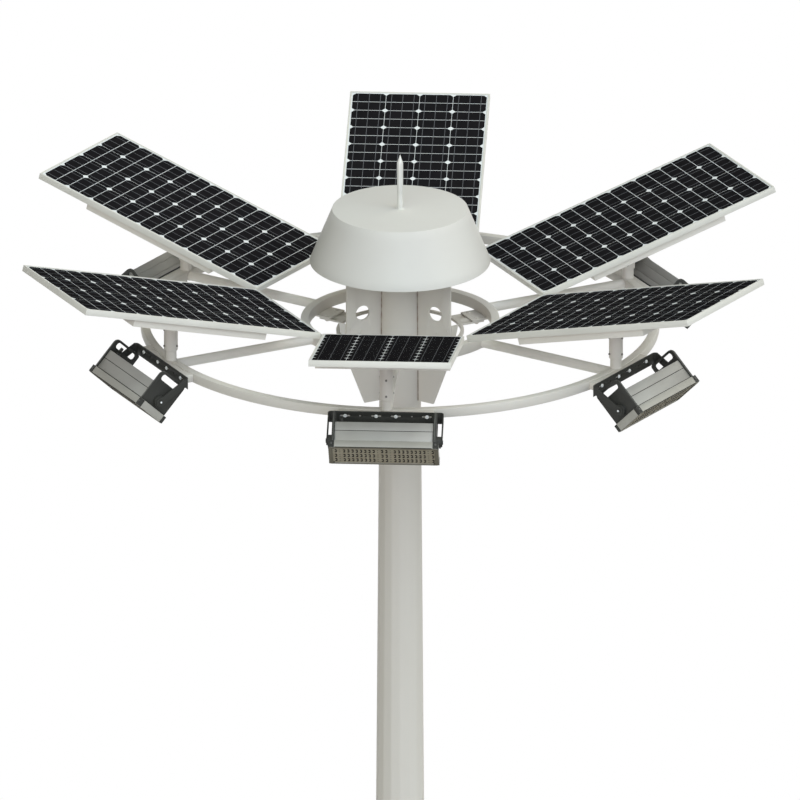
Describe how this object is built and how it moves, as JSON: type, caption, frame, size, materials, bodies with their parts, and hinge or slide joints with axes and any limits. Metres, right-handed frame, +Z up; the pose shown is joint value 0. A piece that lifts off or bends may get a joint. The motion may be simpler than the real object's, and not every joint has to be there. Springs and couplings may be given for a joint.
{
  "type": "solar high mast floodlight",
  "caption": "Solar high mast: tapered sixteen-sided steel mast whose ring carries tilting LED floodlights on yokes below raised solar panels, with a rain hat and lightning spike.",
  "frame": {"origin": "middle of the base flange's flat underside, on the mast's axis", "axes": "+Z up along the mast; the front floodlight and its panel point along -Y"},
  "size_m": [3.5132, 3.67, 15],
  "materials": {
    "white_paint": "satin warm off-white paint",
    "black_powder": "matt black powder coat",
    "bare_steel": "galvanised",
    "panel_aluminium": "anodised",
    "panel_glass": "dark cells behind glass",
    "lamp_aluminium": "extruded and brushed",
    "lens_polycarbonate": "moulded lens plate"
  },
  "bodies": {
    "mast": {"base_flange": "white_paint", "base_ribs": "white_paint", "mast_lower_section": "white_paint", "mast_upper_section": "white_paint", "door_frame": "white_paint", "access_door": "white_paint", "rain_hat": "white_paint", "lightning_spike": "bare_steel", "hub_sleeve": "white_paint", "gusset_plates": "white_paint", "hoop": "white_paint", "hoop_lugs": "white_paint", "tie_plates": "white_paint", "inner_ring": "white_paint", "spokes": "white_paint", "outer_ring": "white_paint", "lamp_pads": "white_paint", "post_stubs": "white_paint", "post_sleeves": "white_paint", "panel_trays": "white_paint", "panel_frames": "panel_aluminium", "panel_laminates": "panel_glass", "lamp_yokes": "black_powder"},
    "floodlight_1": {"lamp_1_housing": "lamp_aluminium", "lamp_1_end_plates": "black_powder", "lamp_1_led_module": "lamp_aluminium", "lamp_1_lens_plate": "lens_polycarbonate"},
    "floodlight_2": {"lamp_2_housing": "lamp_aluminium", "lamp_2_end_plates": "black_powder", "lamp_2_led_module": "lamp_aluminium", "lamp_2_lens_plate": "lens_polycarbonate"},
    "floodlight_3": {"lamp_3_housing": "lamp_aluminium", "lamp_3_end_plates": "black_powder", "lamp_3_led_module": "lamp_aluminium", "lamp_3_lens_plate": "lens_polycarbonate"},
    "floodlight_4": {"lamp_4_housing": "lamp_aluminium", "lamp_4_end_plates": "black_powder", "lamp_4_led_module": "lamp_aluminium", "lamp_4_lens_plate": "lens_polycarbonate"},
    "floodlight_5": {"lamp_5_housing": "lamp_aluminium", "lamp_5_end_plates": "black_powder", "lamp_5_led_module": "lamp_aluminium", "lamp_5_lens_plate": "lens_polycarbonate"},
    "floodlight_6": {"lamp_6_housing": "lamp_aluminium", "lamp_6_end_plates": "black_powder", "lamp_6_led_module": "lamp_aluminium", "lamp_6_lens_plate": "lens_polycarbonate"}
  },
  "joints": [
    {"name": "floodlight_1_tilt", "type": "hinge", "parent": "mast", "child": "floodlight_1", "pos_m": [0, -1.407, 14.078], "axis": [1, 0, 0], "range_deg": [-40, 40]},
    {"name": "floodlight_2_tilt", "type": "hinge", "parent": "mast", "child": "floodlight_2", "pos_m": [1.2185, -0.7035, 14.078], "axis": [0.5, 0.866, 0], "range_deg": [-40, 40]},
    {"name": "floodlight_3_tilt", "type": "hinge", "parent": "mast", "child": "floodlight_3", "pos_m": [1.2185, 0.7035, 14.078], "axis": [-0.5, 0.866, 0], "range_deg": [-40, 40]},
    {"name": "floodlight_4_tilt", "type": "hinge", "parent": "mast", "child": "floodlight_4", "pos_m": [0, 1.407, 14.078], "axis": [-1, 0, 0], "range_deg": [-40, 40]},
    {"name": "floodlight_5_tilt", "type": "hinge", "parent": "mast", "child": "floodlight_5", "pos_m": [-1.2185, 0.7035, 14.078], "axis": [-0.5, -0.866, 0], "range_deg": [-40, 40]},
    {"name": "floodlight_6_tilt", "type": "hinge", "parent": "mast", "child": "floodlight_6", "pos_m": [-1.2185, -0.7035, 14.078], "axis": [0.5, -0.866, 0], "range_deg": [-40, 40]}
  ]
}
